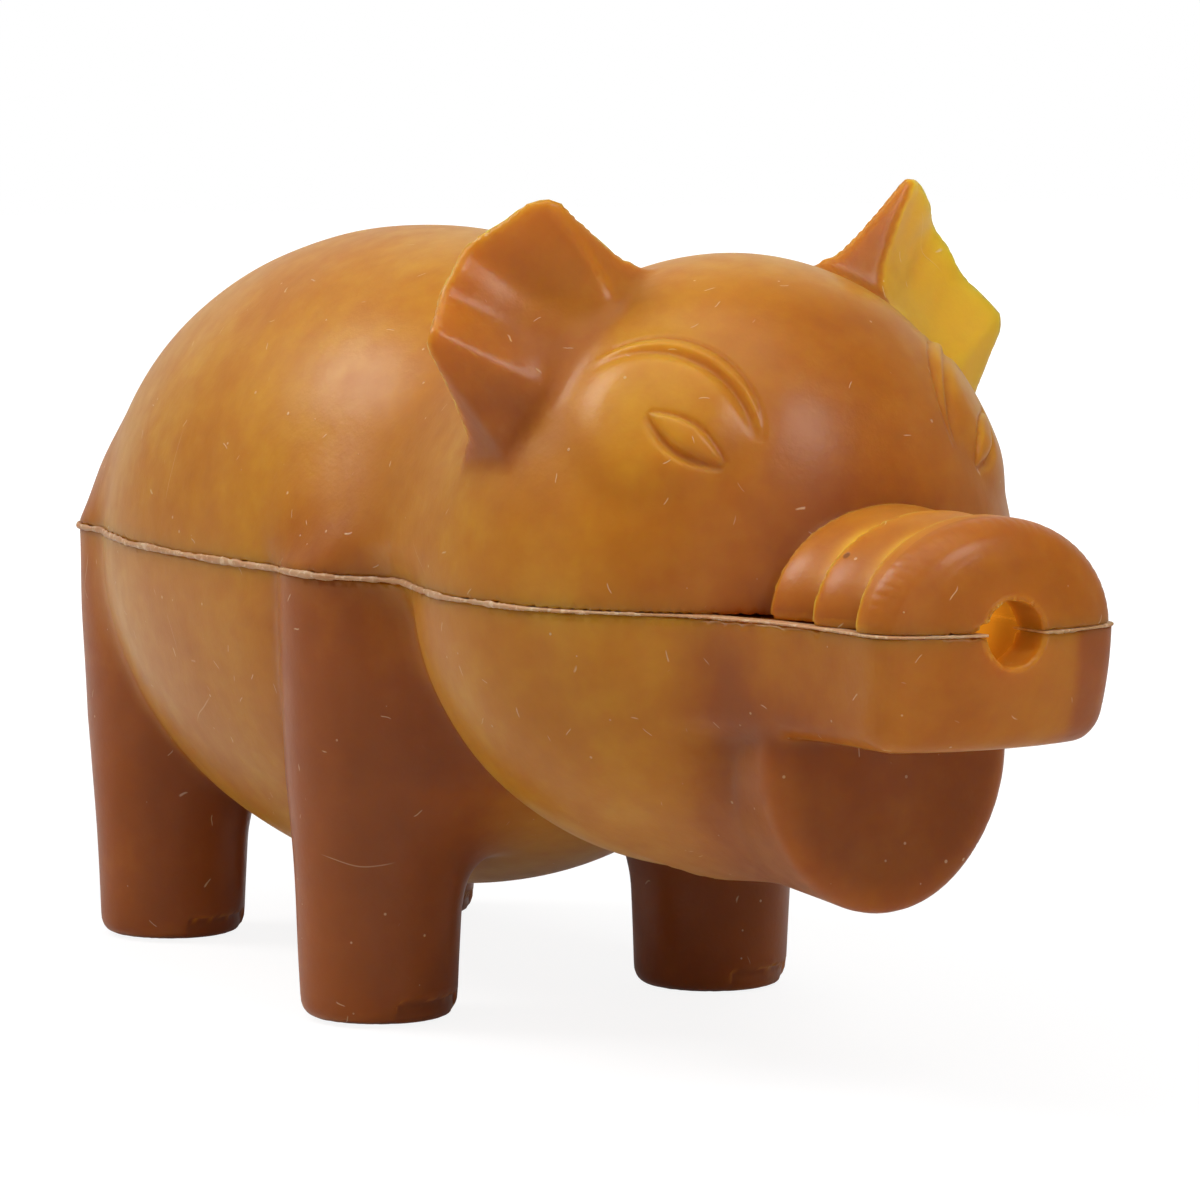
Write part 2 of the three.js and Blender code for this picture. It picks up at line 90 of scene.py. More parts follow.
def wander(p, length, seed):
    # smooth unevenness between about -1 and 1
    rng = np.random.default_rng(seed)
    total = np.zeros(len(p))
    for _ in range(6):
        wave = rng.normal(size=3)
        wave *= 2 * math.pi / (length * rng.uniform(0.7, 1.5) * np.linalg.norm(wave))
        total += np.sin(p @ wave + rng.uniform(0, 2 * math.pi))
    return total / 3.5


def eggField(p, egg, grow=0.0):
    x, z = p[:, 0] - egg["x"], p[:, 2] - egg["z"]
    height = np.where(z > 0, egg["above"], egg["below"]) + grow
    lean = np.where(z > 0, egg["lean"], 0.0)
    length, width = egg["halfLength"] + grow, egg["halfWidth"] + grow
    a, b, c = (x - lean * z) / length, p[:, 1] / width, z / height
    reach = np.sqrt(a * a + b * b + c * c)
    slope = np.sqrt((a / length) ** 2 + (b / width) ** 2 + (c / height - lean * a / length) ** 2)
    return reach * (reach - 1) / (slope + 1e-6)


def skinField(p, grow=0.0):
    fillet = ease(neck["below"], neck["above"], overLine(p) / neck["change"] + 0.5)
    return join(eggField(p, body, grow), eggField(p, head, grow), fillet)


# legs, each a tapered post with a domed top, flared where it runs into the body
leg = {
    "front": (body["x"] + 24.3, body["halfWidth"] - 10.3),
    "rear": (body["x"] - 35.1, body["halfWidth"] - 15.4),
    "soleRadius": 7.9, "hipRadius": 10.0, "soleRounding": 1.0, "shoulder": 8.2, "sink": 4.2,
    "flareFrom": 10.0, "flareTo": 24.0, "flare": 3.2,
    "crisp": 0.9, "soft": 5.0, "softOver": 7, "rearSoftness": 0.15, "melted": 9.0, "meltOver": 9,
    "notchHeight": 2.4, "notchDepth": 0.45, "notchFrom": -0.25, "notchTo": 1.1, "notchEdge": 0.3,
}


def legField(p, place, side):
    z = p[:, 2]
    up = np.clip(z / parting["height"], 0, 1)
    widening = np.clip((z - leg["flareFrom"]) / (leg["flareTo"] - leg["flareFrom"]), 0, 1) ** 2
    ending = np.clip((parting["height"] - z) / (parting["height"] - leg["flareTo"]), 0, 1)
    flare = leg["flare"] * widening * ease(0, 1, ending * 2)
    radius = leg["soleRadius"] + (leg["hipRadius"] - leg["soleRadius"]) * up + flare
    across = p[:, 0] - place[0]
    sink = leg["sink"] * rise(z, parting["height"], leg["shoulder"])
    beside = p[:, 1] - side * (place[1] - flare - sink)
    away = np.hypot(across, beside)
    dome = np.hypot(away, (z - parting["height"]) * leg["hipRadius"] / leg["shoulder"])
    field = np.where(z > parting["height"], dome - leg["hipRadius"], away - radius)
    field = common(field, -z, 2 * leg["soleRounding"])
    turn = np.arctan2(beside, across)
    inNotch = np.minimum(turn - leg["notchFrom"], leg["notchTo"] - turn) * leg["soleRadius"]
    slab = np.maximum(-inNotch, z - leg["notchHeight"])
    ring = np.maximum(slab, leg["soleRadius"] - leg["notchDepth"] - away)
    return cut(field, ring, leg["notchEdge"])


def addLegs(field, p):
    # a crisp line behind each leg, softer in front of it and melted away above the parting line
    above = rise(p[:, 2], parting["height"] - 1, leg["meltOver"])
    for place in (leg["front"], leg["rear"]):
        ahead = rise(p[:, 0], place[0] - 1, leg["softOver"])
        softness = ahead if place is leg["front"] else leg["rearSoftness"]
        fillet = leg["crisp"] + (leg["soft"] - leg["crisp"]) * softness
        fillet = fillet + (leg["melted"] - fillet) * above
        for side in (1, -1):
            field = join(field, legField(p, place, side), fillet)
    return field


# snout with three rolls above the parting line and a plain block below it, and the jaw flap
snout = {
    "front": headFront + 22.4, "dome": 28.0, "domeScale": 0.9, "halfWidth": 12.9, "frontEdge": 0.5,
    "rolls": 3, "pitch": 7.3, "rollHeight": 10.1, "creaseHeight": 8.7, "backEdge": 0.09, "fall": 1.3,
    "rim": 2.6, "chatter": 0.05, "chatterMarks": 62, "chatterPlace": 0.45, "chatterSpread": 0.3,
    "depth": 10.8, "draft": 0.6, "corner": 2.8, "edge": 1.2,
    "root": headFront - 15.6, "flareEnd": headFront + 14.4, "flare": 9.0, "fillet": 1.2,
    "hole": 3.0, "holeSide": -0.5, "holeRagged": 0.12, "holeEdge": 0.35, "nick": 0.5, "nickOut": 0.1,
    "lip": 0.2, "lipAway": 0.2, "lipFillet": 0.3,
    "noseWall": 5.0, "channelHalfWidth": 7.0, "channelHalfHeight": 6.0, "channelStart": head["x"] + 8,
}
jaw = {"front": headFront + 2, "root": headFront - 22.6, "halfWidth": 13.4, "top": 33.0, "bottom": 17.2,
       "edge": 1.4, "rootInset": 1.8, "inHead": 6, "fillet": 5.0, "rootFade": 8, "rootShare": 0.25}


def domeField(p):
    beside, above = p[:, 1], overLine(p)
    drop = np.clip(snout["dome"] ** 2 - beside ** 2 - above ** 2, 0, None)
    return (p[:, 0] - (snout["front"] - snout["dome"] + np.sqrt(drop))) * snout["domeScale"]


def rollsField(p):
    widen = snout["halfWidth"] / snout["rollHeight"]
    above = overLine(p)
    along = (p[:, 0] - headFront) / snout["pitch"]
    last = snout["rolls"] - 1
    t = np.clip(along - np.clip(np.floor(along), 0, last), 0, None)  # 0 at each roll's back edge
    falling = np.where(along > last, 1, 1 - ease(0, 1, t ** snout["fall"]))
    crest = ease(0, 1, t / snout["backEdge"]) * falling
    q = np.clip(1 + domeField(p) / snout["rim"], 0, 0.95)  # way round the rim of the front
    arc = np.sqrt(1 - q * q)
    radius = snout["creaseHeight"] + (snout["rollHeight"] - snout["creaseHeight"]) * crest
    ticks = np.sin(np.arctan2(above, p[:, 1] / widen) * snout["chatterMarks"] + wander(p, 6, 3) * 2)
    onRim = bell(q - snout["chatterPlace"], snout["chatterSpread"])
    radius -= snout["rim"] * (1 - arc) + snout["chatter"] * np.clip(ticks, 0, 1) * onRim
    away = np.hypot(p[:, 1] / widen, above)
    away = (away - radius) / np.hypot(1, q / arc) * snout["domeScale"]
    field = common(away, domeField(p), snout["frontEdge"])
    return np.maximum(field, snout["root"] - p[:, 0])


def blockField(p):
    away = np.clip((snout["flareEnd"] - p[:, 0]) / (snout["flareEnd"] - snout["root"]), 0, 1.2)
    below = parting["height"] - p[:, 2]
    side = snout["halfWidth"] + snout["flare"] * away ** 2 - snout["draft"] * below / snout["depth"]
    beside = np.abs(p[:, 1]) - side + snout["corner"]
    down = below - snout["depth"] + snout["corner"]
    outer = np.hypot(np.clip(beside, 0, None), np.clip(down, 0, None))
    field = outer + np.minimum(np.maximum(beside, down), 0) - snout["corner"]
    field = common(field, domeField(p), 2 * snout["edge"])
    return np.maximum(field, snout["root"] - p[:, 0])


def jawField(p):
    inset = jaw["rootInset"] * np.clip((jaw["front"] - p[:, 0]) / (jaw["front"] - jaw["root"]), 0, 1)
    down = jaw["top"] - p[:, 2]
    half, reach = jaw["halfWidth"] - inset, jaw["top"] - jaw["bottom"] - inset
    disc = (np.hypot(p[:, 1] / half, down / reach) - 1) * half
    strip = np.abs(p[:, 1]) - half
    shape = np.where(down > 0, disc, np.maximum(strip, -down - jaw["inHead"]))
    shape = common(shape, p[:, 0] - jaw["front"], 2 * jaw["edge"])
    return np.maximum(shape, jaw["root"] - p[:, 0])


def boreField(p):
    # the hole, a little ragged, and the channel behind it
    beside, above = p[:, 1] - snout["holeSide"], overLine(p)
    ragged = wander(p * [0.3, 1, 1], 2.4, 5) * snout["holeRagged"]
    hole = np.hypot(beside, above) - snout["hole"] + ragged
    nick = np.hypot(beside + snout["hole"] + snout["nickOut"], above - snout["nick"]) - snout["nick"]
    hole = join(hole, nick, 0.3)
    channel = np.hypot(p[:, 1] / snout["channelHalfWidth"], above / snout["channelHalfHeight"]) - 1
    noseWall = p[:, 0] - (snout["front"] - snout["noseWall"])
    channel = np.maximum(channel * snout["channelHalfHeight"], noseWall)
    return np.maximum(np.minimum(hole, channel), snout["channelStart"] - p[:, 0])


def lipField(p):
    # thin raised line around the hole
    away = np.hypot(p[:, 1] - snout["holeSide"], overLine(p)) - snout["hole"]
    return np.hypot(away - snout["lipAway"], domeField(p)) - snout["lip"]


# ears, thin sheets with a folded lower corner
ear = {
    "edge": [(4.7, -7.5, 6.3), (1.7, -4.3, 3.6), (-1, -1, 0.2), (-0.1, 1.4, -3.5), (2.5, 3.9, -6.8)],
    "rootMedial": (6.3, -14.4, -3.9), "rootFold": (7.2, -6.1, -12.8), "rootLow": (4.8, -2.9, -18.4),
    "sink": 5.0, "backMedial": (-3, -3.7, 2.7), "backLow": (-6.5, 0, -1), "tipShare": 0.22,
    "cornerRounding": 0.12, "lowDrop": 1.5, "cup": 1.2, "flutes": 3, "fluteDepth": 0.36, "fold": 0.75,
    "leftRise": 1.6, "fillet": 1.8, "rim": 0.85, "taper": 0.7, "flankEdge": 0.6,
}


def smoothCurve(points, t):
    # the same centripetal curve through its points that the CAD ear uses
    points = [Vector(q) for q in points]
    place = t * (len(points) - 1)
    i = min(int(place), len(points) - 2)
    weight = place - i
    before = points[i - 1] if i > 0 else points[0] * 2 - points[1]
    after = points[i + 2] if i + 2 < len(points) else points[-1] * 2 - points[-2]
    ring = [before, points[i], points[i + 1], after]
    gaps = [max((ring[k + 1] - ring[k]).length ** 0.5, 1e-4) for k in range(3)]
    x = [np.array(q) for q in ring]
    t1 = (x[1] - x[0]) / gaps[0] - (x[2] - x[0]) / (gaps[0] + gaps[1]) + (x[2] - x[1]) / gaps[1]
    t2 = (x[2] - x[1]) / gaps[1] - (x[3] - x[1]) / (gaps[1] + gaps[2]) + (x[3] - x[2]) / gaps[2]
    t1, t2 = t1 * gaps[1], t2 * gaps[1]
    c2 = -3 * x[1] + 3 * x[2] - 2 * t1 - t2
    c3 = 2 * x[1] - 2 * x[2] + t1 + t2
    return Vector(x[1] + t1 * weight + c2 * weight ** 2 + c3 * weight ** 3)


def earSheet(side, lift, rows=36, columns=90):
    # middle surface of the ear and half of its thickness at every point
    seat = Vector((head["x"], head["halfWidth"], crown))
    rootMedial, rootFold, rootLow = (Vector(ear[k]) + seat for k in ("rootMedial", "rootFold", "rootLow"))
    backMedial, backLow = Vector(ear["backMedial"]), Vector(ear["backLow"])
    points, halves, rims = [], [], {0: [], columns: []}
    first = -rows // 6
    for row in range(first, rows + 1):
        u = row / rows
        for column in range(columns + 1):
            v = column / columns
            folded = v > ear["fold"]
            across = (v - ear["fold"]) / (1 - ear["fold"]) if folded else v / ear["fold"]
            root = rootFold.lerp(rootLow, across) if folded else rootMedial.lerp(rootFold, across)
            tip = smoothCurve(ear["edge"], 1 if folded else across) + seat
            if folded:
                tip.z -= ear["lowDrop"] * across
            fromCorner = min(v, 1 - v) / ear["cornerRounding"]
            tip = tip.lerp(root, ear["cornerRounding"] * max(1 - fromCorner, 0) ** 2)
            tip += (root - tip).normalized() * ear["rim"]
            inward = (root - tip).normalized() * ear["sink"]
            point = root + inward * (row / first) if row < 0 else root.lerp(tip, u)
            outward = max(u, 0)
            point.z += lift * outward * (1 - v)
            hollow = 0 if folded else math.sin(math.pi * across)
            flute = 0 if folded else math.sin(ear["flutes"] * 2 * math.pi * across) * hollow
            cup = ear["cup"] * hollow * math.sin(math.pi * outward)
            point.x -= cup + ear["fluteDepth"] * flute * outward
            depth = backMedial.lerp(backLow, v) * (1 + (ear["tipShare"] - 1) * outward ** ear["taper"])
            middle = point + depth * 0.5
            points.append(Vector((middle.x, side * middle.y, middle.z)))
            halves.append(depth.length * 0.5)
            if column in rims and row in (0, rows):
                rims[column].append(Vector((point.x, side * point.y, point.z)))
    count = columns + 1
    faces = []
    for row in range(len(points) // count - 1):
        for column in range(columns):
            a = row * count + column
            faces += [(a, a + 1, a + count + 1), (a, a + count + 1, a + count)]
    # the flat flanks along the two side edges, each as a point and the direction out of the ear
    flanks = []
    for (root, tip), back in zip(rims.values(), (backMedial, backLow)):
        out = (tip - root).cross(Vector((back.x, side * back.y, back.z))).normalized()
        out = out if out.dot(points[len(points) // 2] - root) < 0 else -out
        flanks.append((np.array(root), np.array(out)))
    return points, np.array(halves), faces, flanks


class SheetField:
    # distance from a thin sheet, less its own half thickness at the nearest point
    reach = 8.0  # worked out only this near to the sheet

    def __init__(self, points, halves, faces, flanks):
        self.tree = BVHTree.FromPolygons(points, faces)
        self.points = np.array([tuple(q) for q in points])
        self.halves = halves
        self.flanks = flanks
        self.faces = np.array(faces)
        self.low = self.points.min(axis=0) - self.reach
        self.high = self.points.max(axis=0) + self.reach

    def __call__(self, p):
        field = np.full(len(p), self.reach)
        near = np.nonzero(np.all((p > self.low) & (p < self.high), axis=1))[0]
        if len(near) == 0:
            return field
        spots = np.empty((len(near), 3))
        index = np.empty(len(near), int)
        far = np.empty(len(near))
        for i, q in enumerate(p[near]):
            spot, _, face, distance = self.tree.find_nearest(q)
            spots[i], index[i], far[i] = spot, face, distance
        a, b, c = (self.points[self.faces[index, k]] for k in range(3))
        ab, ac, at = b - a, c - a, spots - a
        d00, d01, d11 = (ab * ab).sum(1), (ab * ac).sum(1), (ac * ac).sum(1)
        d20, d21 = (at * ab).sum(1), (at * ac).sum(1)
        area = d00 * d11 - d01 * d01 + 1e-12
        wb = np.clip((d11 * d20 - d01 * d21) / area, 0, 1)
        wc = np.clip((d00 * d21 - d01 * d20) / area, 0, 1)
        half = [self.halves[self.faces[index, k]] for k in range(3)]
        sheet = far - (half[0] * (1 - wb - wc) + half[1] * wb + half[2] * wc)
        for root, out in self.flanks:
            sheet = common(sheet, (p[near] - root) @ out, ear["flankEdge"])
        field[near] = sheet
        return field


ears = [SheetField(*earSheet(1, ear["leftRise"])), SheetField(*earSheet(-1, 0.0))]
print("ears laid out")

# closed eyes: a low mound, a leaf between two grooves and a brow ridge between two more
eye = {
    "ahead": 22.2, "inset": 12.3, "axis": (0.734, -0.469, -0.491), "leftShift": (0.8, -0.9),
    "reach": 20, "depth": 9,
    "mound": {"along": -4.6, "across": 0.6, "radius": 9.4, "flank": 0.5, "height": 0.55,
              "moat": 0.12, "moatPlace": 1.02, "moatWidth": 0.2},
    "leaf": {"halfLength": 4.6, "halfHeight": 1.4, "height": 0.3, "fine": 0.28, "finePlace": 0.1,
             "fineWidth": 0.3, "deep": 0.62, "deepPlace": 0.25, "deepWidth": 0.55},
    "brow": {"along": -3.0, "across": -4.0, "radius": 11.7, "from": 0.72, "to": 2.75,
             "height": 0.28, "width": 0.6, "fine": 0.24, "finePlace": 0.85, "fineWidth": 0.28,
             "deep": 0.55, "deepPlace": 1.0, "deepWidth": 0.6, "deepEnd": 0.35},
}
headRadii = np.array([head["halfLength"], head["halfWidth"], head["above"]])
eyePlace = np.array([eye["ahead"] / headRadii[0], 1 - eye["inset"] / headRadii[1]])
lean = head["lean"] * headRadii[2] / headRadii[0]
a, b, c = 1 + lean ** 2, -2 * eyePlace[0] * lean, eyePlace @ eyePlace - 1
eyeHeight = (-b + math.sqrt(b * b - 4 * a * c)) / (2 * a)
eyeMiddle = np.array([head["x"], 0, head["z"]]) + headRadii * [eyePlace[0], eyePlace[1], eyeHeight]
eyeNormal = np.array([eyePlace[0] - lean * eyeHeight, eyePlace[1], eyeHeight]) / headRadii
eyeNormal[2] -= head["lean"] * eyeNormal[0]
eyeNormal /= np.linalg.norm(eyeNormal)
eyeRight = np.array(eye["axis"])
eyeRight = eyeRight - eyeNormal * eyeRight.dot(eyeNormal)
eyeRight /= np.linalg.norm(eyeRight)
eyeUp = np.cross(eyeRight, eyeNormal)


def fromEye(p):
    # places as seen from the middle of the eye on their own side, both sides alike
    return np.stack([p[:, 0], np.abs(p[:, 1]), p[:, 2]], axis=1) - eyeMiddle


def eyeRelief(p):
    # height that the skin around either eye gains (or loses)
    relief = np.zeros(len(p))
    offset = fromEye(p)
    near = np.nonzero((offset ** 2).sum(1) < eye["reach"] ** 2)[0]
    if len(near) == 0:
        return relief
    offset, left = offset[near], p[near, 1] > 0
    along = offset @ eyeRight - left * eye["leftShift"][0]
    across = offset @ eyeUp - left * eye["leftShift"][1]
    mound, leaf, brow = eye["mound"], eye["leaf"], eye["brow"]
    away = np.hypot(along - mound["along"], across - mound["across"]) / mound["radius"]
    gain = mound["height"] * ease(0, 1, (1 - away) / mound["flank"])
    gain -= mound["moat"] * bell(away - mound["moatPlace"], mound["moatWidth"])
    t = np.clip(along / leaf["halfLength"], -1, 1)
    taper = np.cos(t * math.pi / 2)
    half = leaf["halfHeight"] * taper
    s = across / np.clip(half, 0.05, None)
    ends = np.sqrt(taper)
    gain += leaf["height"] * np.sqrt(np.clip(1 - s * s, 0, None)) * ends
    gain -= leaf["fine"] * bell(across - half - leaf["finePlace"], leaf["fineWidth"]) * ends
    gain -= leaf["deep"] * bell(across + half + leaf["deepPlace"], leaf["deepWidth"]) * ends
    dx, dy = along - brow["along"], across - brow["across"]
    u = np.clip((np.arctan2(dy, dx) - brow["from"]) / (brow["to"] - brow["from"]), 0, 1)
    swell = np.sqrt(np.sin(u * math.pi))
    out = np.hypot(dx, dy) - brow["radius"]
    gain += brow["height"] * bell(out, brow["width"]) * swell
    gain -= brow["fine"] * bell(out - brow["finePlace"] * swell, brow["fineWidth"]) * swell
    deep = brow["deep"] * bell(out + brow["deepPlace"] * swell, brow["deepWidth"]) * swell
    gain -= deep * ease(1, brow["deepEnd"], u * 1.3 - 0.3)
    relief[near] = np.where(np.abs(offset @ eyeNormal) < eye["depth"], gain, 0)
    return relief


# curled tail in relief on the rump
tail = {"height": 55.0, "radius": 1.4, "turns": 1.35, "spread": 4.2, "curlIn": 0.72, "fillet": 0.8,
        "reach": 6}


def addTail(field, p):
    near = np.nonzero(p[:, 0] < body["x"] - body["halfLength"] + tail["reach"])[0]
    if len(near) == 0:
        return field
    t = np.linspace(0, 1, 70)
    reach = tail["spread"] * (1 - tail["curlIn"] * t)
    turn = t * tail["turns"] * 2 * math.pi
    y, z = reach * np.sin(turn), tail["height"] + reach * np.cos(turn)
    off = (y / body["halfWidth"]) ** 2 + ((z - body["z"]) / body["above"]) ** 2
    curve = np.stack([body["x"] - body["halfLength"] * np.sqrt(1 - off), y, z], axis=1)
    batch = 20000
    for start in range(0, len(near), batch):
        some = near[start:start + batch]
        away = np.sqrt(((p[some][:, None, :] - curve[None]) ** 2).sum(2).min(1))
        field[some] = join(field[some], away - tail["radius"], tail["fillet"])
    return field


# the two halves
def upperField(p):
    field = skinField(p) - eyeRelief(p)
    field = addLegs(field, p)
    field = join(field, rollsField(p), snout["fillet"])
    field = join(field, lipField(p), snout["lipFillet"])
    for oneEar in ears:
        field = join(field, oneEar(p), ear["fillet"])
    field = addTail(field, p)
    return cut(field + wander(p, uneven["length"], 1) * uneven["height"], boreField(p), snout["holeEdge"])


def lowerField(p):
    field = join(skinField(p), blockField(p), snout["fillet"])
    behind = (jaw["front"] - 4 - p[:, 0]) / jaw["rootFade"]
    field = join(field, jawField(p), jaw["fillet"] * ease(jaw["rootShare"], 1, behind))
    field = join(field, lipField(p), snout["lipFillet"])
    field = addLegs(field, p)
    return cut(field + wander(p, uneven["length"], 2) * uneven["height"], boreField(p), snout["holeEdge"])


def upperHalf(p):
    return np.maximum(upperField(p), parting["height"] + parting["gap"] - p[:, 2])


def lowerHalf(p):
    return np.maximum(lowerField(p), overLine(p) + parting["gap"])


def gridSpots(*ranges):
    return np.stack(np.meshgrid(*ranges, indexing="ij"), -1).reshape(-1, 3)


def netMesh(field, low, high, step, block=12):
    # finds the cells that the surface passes through and joins their middles into quads
    low = np.array(low, float)
    counts = np.ceil((np.array(high) - low) / step / block).astype(int) * block
    shape = counts + 1
    values = np.ones(shape, np.float32)
    blocks = gridSpots(*[np.arange(0, c, block) for c in counts])
    middle = field(low + (blocks + block / 2) * step)
    reach = step * block * math.sqrt(3) / 2
    for (i, j, k), value in zip(blocks, middle):
        if value < 0:
            values[i:i + block + 1, j:j + block + 1, k:k + block + 1] = -1
    near = blocks[np.abs(middle) < reach * 1.35 + 1]
    local = gridSpots(*[np.arange(block + 1)] * 3)
    batch = 64
    for start in range(0, len(near), batch):
        group = near[start:start + batch]
        points = (group[:, None, :] + local[None]).reshape(-1, 3)
        values[points[:, 0], points[:, 1], points[:, 2]] = field(low + points * step)
    inside = values < 0
    corner = [inside[a:a + counts[0], b:b + counts[1], c:c + counts[2]]
              for a in (0, 1) for b in (0, 1) for c in (0, 1)]
    cells = np.argwhere(np.logical_or.reduce(corner) & ~np.logical_and.reduce(corner))
    number = np.full(counts, -1, np.int64)
    number[tuple(cells.T)] = np.arange(len(cells))
    total = np.zeros((len(cells), 3))
    weight = np.zeros(len(cells))
    for axis in range(3):
        others = [a for a in range(3) if a != axis]
        for b in (0, 1):
            for c in (0, 1):
                start = cells.copy()
                start[:, others[0]] += b
                start[:, others[1]] += c
                end = start.copy()
                end[:, axis] += 1
                v0, v1 = values[tuple(start.T)], values[tuple(end.T)]
                crossed = (v0 < 0) != (v1 < 0)
                spot = start.astype(float)
                spot[:, axis] += np.where(crossed, v0 / np.where(crossed, v0 - v1, 1), 0)
                total[crossed] += spot[crossed]
                weight[crossed] += 1
    points = low + total / weight[:, None] * step
    faces = []
    for axis in range(3):
        b, c = (axis + 1) % 3, (axis + 2) % 3
        first = [slice(1, -1)] * 3
        first[axis] = slice(0, counts[axis])
        second = list(first)
        second[axis] = slice(1, counts[axis] + 1)
        crossed = inside[tuple(first)] != inside[tuple(second)]
        spots = np.argwhere(crossed) + np.array([0 if a == axis else 1 for a in range(3)])
        around = []
        for db, dc in ((-1, -1), (0, -1), (0, 0), (-1, 0)):
            cell = spots.copy()
            cell[:, b] += db
            cell[:, c] += dc
            around.append(number[tuple(cell.T)])
        quad = np.stack(around, 1)
        faces.append(np.where(inside[tuple(spots.T)][:, None], quad, quad[:, ::-1]))
    return points, np.concatenate(faces)


def slopeOf(field, points, h=0.04):
    slopes = []
    for axis in range(3):
        shift = np.zeros(3)
        shift[axis] = h
        slopes.append((field(points + shift) - field(points - shift)) / (2 * h))
    return np.stack(slopes, 1)


def settle(field, points, rounds=3, most=0.25):
    # moves points that are near the surface onto it, down the slope of the field
    for _ in range(rounds):
        value = field(points)
        near = np.nonzero(np.abs(value) < 1)[0]
        slope = slopeOf(field, points[near])
        size = np.clip((slope ** 2).sum(1), 0.2, None)
        move = -slope * (value[near] / size)[:, None]
        length = np.linalg.norm(move, axis=1)
        points[near] += move * np.clip(most / np.clip(length, 1e-9, None), 0, 1)[:, None]
    return points


def meshFrom(name, points, faces):
    mesh = bpy.data.meshes.new(name)
    mesh.vertices.add(len(points))
    mesh.vertices.foreach_set("co", points.astype(np.float32).ravel())
    mesh.loops.add(faces.size)
    mesh.loops.foreach_set("vertex_index", faces.astype(np.int32).ravel())
    mesh.polygons.add(len(faces))
    mesh.polygons.foreach_set("loop_start", np.arange(0, faces.size, faces.shape[1], dtype=np.int32))
    mesh.update(calc_edges=True)
    return mesh


def pointsOf(mesh):
    points = np.empty(len(mesh.vertices) * 3, np.float32)
    mesh.vertices.foreach_get("co", points)
    return points.reshape(-1, 3).astype(float)


def refine(mesh, wanted):
    # cuts every quad whose corners are all wanted into nine
    build = bmesh.new()
    build.from_mesh(mesh)
    build.verts.ensure_lookup_table()
    edges = [edge for edge in build.edges if wanted[edge.verts[0].index] and wanted[edge.verts[1].index]]
    bmesh.ops.subdivide_edges(build, edges=edges, cuts=2, use_grid_fill=True)
    build.to_mesh(mesh)
    build.free()


# where the mesh is made finer: eyes and brows, the rim of the snout's hole, and the rolls
fineMesh = {"eye": (-1.5, 2), "eyeReach": 11.5, "eyeDepth": 6, "holeRing": 1.4, "holeDepth": 4,
            "rollsDepth": 9, "rollsInner": 7.5}


def fineSpots(p):
    offset = fromEye(p)
    along, across, off = offset @ eyeRight, offset @ eyeUp, offset @ eyeNormal
    eyes = np.hypot(along - fineMesh["eye"][0], across - fineMesh["eye"][1]) < fineMesh["eyeReach"]
    eyes &= np.abs(off) < fineMesh["eyeDepth"]
    above = overLine(p)
    hole = np.hypot(p[:, 1] - snout["holeSide"], above) < snout["hole"] + fineMesh["holeRing"]
    hole &= p[:, 0] > snout["front"] - fineMesh["holeDepth"]
    rolls = (p[:, 0] > headFront - 1) & (above > -1) & (domeField(p) > -fineMesh["rollsDepth"])
    rolls &= np.hypot(p[:, 1], above) > fineMesh["rollsInner"]
    return eyes | hole | rolls


def addShare(mesh, name, values):
    mesh.attributes.new(name, "FLOAT", "POINT").data.foreach_set("value", values)


def addObject(name, data):
    made = bpy.data.objects.new(name, data)
    bpy.context.scene.collection.objects.link(made)
    return made


def addPiece(name, mesh, points, material, node):
    # the finished mesh of one solid: its shading, its place in the frame and its slot
    mesh.polygons.foreach_set("use_smooth", np.ones(len(mesh.polygons), bool))
    addShare(mesh, "holeGlow", holeGlow(points))
    mesh.materials.append(material)
    mesh.update()
    piece = addObject(name, mesh)
    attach(piece, "root")
    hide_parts(node)
    print(name, len(points), "points")


def makeHalf(name, half, surface, low, high, material, node):
    # half is the field closed at the parting line, and surface the same field without that cut
    points, faces = netMesh(half, low, high, meshStep)
    mesh = meshFrom(name, settle(surface, points, rounds=1), faces)
    refine(mesh, fineSpots(points))
    points = settle(surface, pointsOf(mesh))
    points[:, 2] = np.clip(points[:, 2], low[2] + 2, high[2] - 2)
    mesh.vertices.foreach_set("co", (points * mm).astype(np.float32).ravel())
    addShare(mesh, "rubberAround", rubberAround(surface, points))
    addPiece(name, mesh, points, material, node)


# Share of rubber in the few millimetres around each place, with the hollow taken out. After the
# grid's values stand places that differ: a share of their own, or how much less or more it is;
# several of these are painted light or painted shade rather than rubber.
around = {
    "step": 1.25, "blur": 3.4, "inward": 2.0, "low": (-92, -42, -8), "high": (94, 42, 94), "feet": 5,
    "level": 0.05,
    "rollCrease": {"less": 0.36, "fade": 0.9, "end": headFront + 17, "away": 6, "even": 0.25,
                   "turn": 0.85, "spread": 0.35},
    "mound": {"less": 0.12, "along": -5.5, "across": 1.0, "spread": 8.5},
    "ears": {"front": 0.12, "back": 0.45, "low": 0.1, "lowUnder": 74, "lowOver": 10,
             "cover": 1.4, "fade": 1.2},
    "jaw": {"share": 0.58, "fade": 2, "start": headFront - 12},
    "block": {"share": 0.44, "start": headFront - 3, "over": 6},
    "nose": {"share": 0.48, "start": headFront + 17, "cover": 0.7},
    "neckCreaseShade": {"more": 0.16, "spread": 2.2, "under": parting["height"] - 6, "over": 8},
    "corner": {"more": 0.17, "side": 6, "over": 2, "start": headFront + 8},
    "mouthShade": {"more": 0.16, "x": headFront + 2, "length": 8, "z": 36.5, "height": 3, "side": -8},
    "foreheadShade": {"more": 0.13, "start": head["x"] + 12, "over": 12, "eyeSpread": 9.5},
    "rump": {"more": 0.07, "start": body["x"] - 22, "over": 22},
}


